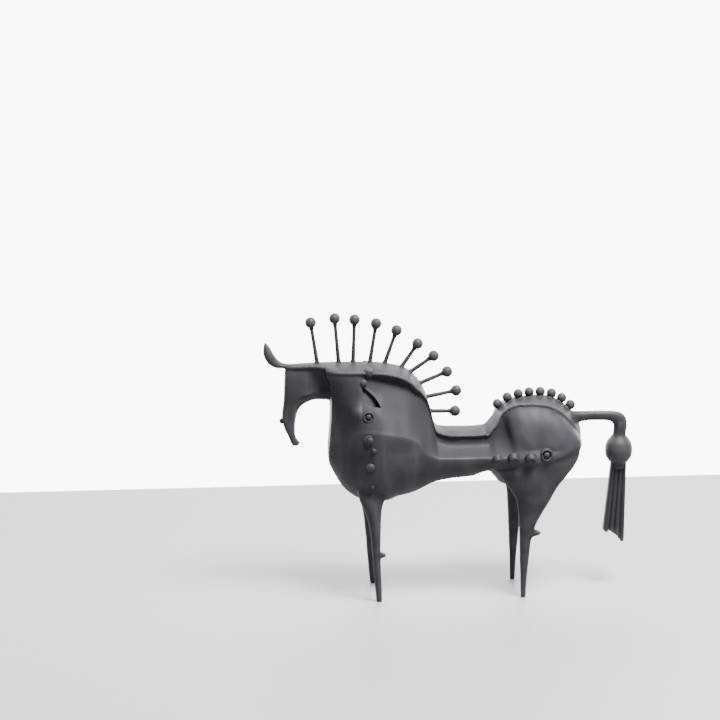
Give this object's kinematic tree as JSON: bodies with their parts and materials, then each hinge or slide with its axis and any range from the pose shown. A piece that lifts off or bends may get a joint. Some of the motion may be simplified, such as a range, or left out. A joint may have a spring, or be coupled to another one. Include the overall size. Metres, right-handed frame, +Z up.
{
  "type": "horse sculpture",
  "caption": "Stylised standing horse in black cast metal, with a mane of ball-headed pins, a beaded croup, tapering legs and a fluted tassel tail. Stands on its own feet.",
  "frame": {"origin": "middle of the figure's bounding box in plan, on the surface that the feet stand on", "axes": "+X from the head towards the tail, +Y across the horse from its left side to its right side, +Z up"},
  "size_m": [0.3888, 0.1028, 0.3],
  "materials": {
    "cast_metal": "charcoal-black patinated casting, satin, faintly uneven"
  },
  "bodies": {
    "root": {"horse": "cast_metal"}
  },
  "joints": []
}
